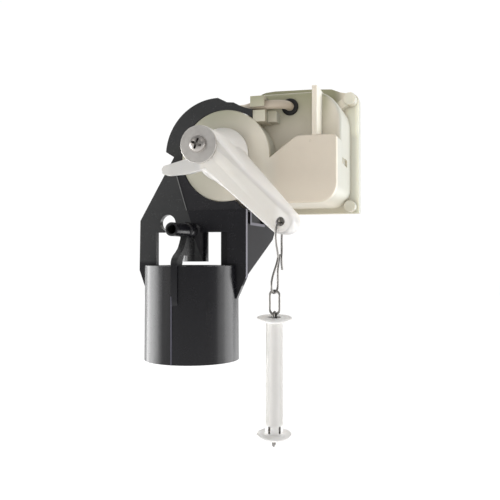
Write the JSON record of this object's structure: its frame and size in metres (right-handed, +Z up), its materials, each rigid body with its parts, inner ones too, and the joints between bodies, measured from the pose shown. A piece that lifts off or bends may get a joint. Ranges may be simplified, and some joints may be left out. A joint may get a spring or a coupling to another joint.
{
  "type": "automatic flush valve",
  "caption": "In-tank flush drive: black bracket that slides on an overflow pipe, cream geared motor case, white lifting lever and a chain in a guard tube.",
  "frame": {"origin": "centre of the lower mouth of the sleeve that slides on the overflow pipe", "axes": "+Z up along the sleeve, +Y away from the viewer along the lever axis towards the back of the gear case, +X to the right towards the chain"},
  "size_m": [0.0991, 0.1144, 0.162],
  "materials": {
    "black_plastic": "moulded, near black, soft sheen",
    "cream_plastic": "moulded, ivory, satin",
    "white_plastic": "moulded acetal, bright white",
    "gear_plastic": "natural acetal",
    "milky_plastic": "milky, slightly see-through",
    "grey_rubber": "soft",
    "black_rubber": "soft",
    "steel": "stainless",
    "motor_steel": "drawn can",
    "chain_steel": "drawn stainless wire",
    "zinc_plate": "zinc plated",
    "ferrite": "pressed ferrite",
    "brass": "plain",
    "board_green": "solder mask",
    "board_black": "moulded parts",
    "cable_jacket": "flexible jacket, pale",
    "plug_white": "moulded",
    "black_nylon": "nylon"
  },
  "bodies": {
    "base": {"bracket": "black_plastic", "case_front": "cream_plastic", "case_back": "cream_plastic", "case_gasket": "grey_rubber", "case_screws": "steel", "bracket_screws": "steel", "gear_plate": "zinc_plate", "plate_screws": "steel", "motor_can": "motor_steel", "motor_magnets": "ferrite", "motor_end_cap": "black_plastic", "motor_terminals": "brass", "motor_screws": "steel", "first_axle": "steel", "second_axle": "steel", "front_bush": "brass", "rear_bush": "brass", "shaft_seal": "black_rubber", "circuit_board": "board_green", "board_parts": "board_black", "board_screws": "steel", "cable_grommet": "black_rubber", "inner_lead": "cable_jacket", "cable_lead": "cable_jacket", "cable_coil": "cable_jacket", "cable_tail": "cable_jacket", "cable_plug": "plug_white", "plug_contacts": "brass", "cable_tie": "black_nylon"},
    "lever_arm": {"lever": "white_plastic", "lever_washer": "steel", "lever_screw": "steel", "output_shaft": "steel", "output_gear": "gear_plastic", "position_magnet": "ferrite"},
    "gear_two": {"second_gear": "gear_plastic"},
    "gear_one": {"first_gear": "gear_plastic"},
    "rotor": {"motor_shaft": "steel", "motor_pinion": "brass"},
    "clip": {"spring_clip": "chain_steel"},
    "link": {"upper_link": "chain_steel"},
    "tube": {"chain_links": "chain_steel", "guard_tube": "milky_plastic"}
  },
  "joints": [
    {"name": "lever_lift", "type": "hinge", "parent": "base", "child": "lever_arm", "pos_m": [0.0166, -0.01, 0.0941], "axis": [0, -1, 0], "range_deg": [0, 60]},
    {"name": "second_gear_spin", "type": "hinge", "parent": "base", "child": "gear_two", "pos_m": [0.03514, 0.02, 0.10159], "axis": [0, -1, 0], "range_deg": [-244, 4]},
    {"name": "first_gear_spin", "type": "hinge", "parent": "base", "child": "gear_one", "pos_m": [0.04871, 0.026, 0.10308], "axis": [0, -1, 0], "range_deg": [-4, 772]},
    {"name": "motor_spin", "type": "hinge", "parent": "base", "child": "rotor", "pos_m": [0.0553, 0.02, 0.0885], "axis": [0, -1, 0], "range_deg": [-4160, 10]},
    {"name": "clip_swing", "type": "hinge", "parent": "lever_arm", "child": "clip", "pos_m": [0.0513, -0.0326, 0.0617], "axis": [0, -1, 0], "range_deg": [-62, 4]},
    {"name": "link_swing", "type": "hinge", "parent": "clip", "child": "link", "pos_m": [0.0491, -0.0346, 0.03361], "axis": [1, 0, 0], "range_deg": [-22, 0]},
    {"name": "tube_swing", "type": "hinge", "parent": "link", "child": "tube", "pos_m": [0.0491, -0.0346, 0.02514], "axis": [0, -1, 0], "range_deg": [-20, 20]}
  ],
  "couplings": [
    {"joint": "second_gear_spin", "follows": "lever_lift", "ratio": -4},
    {"joint": "first_gear_spin", "follows": "lever_lift", "ratio": 12.8},
    {"joint": "motor_spin", "follows": "lever_lift", "ratio": -69.12}
  ]
}
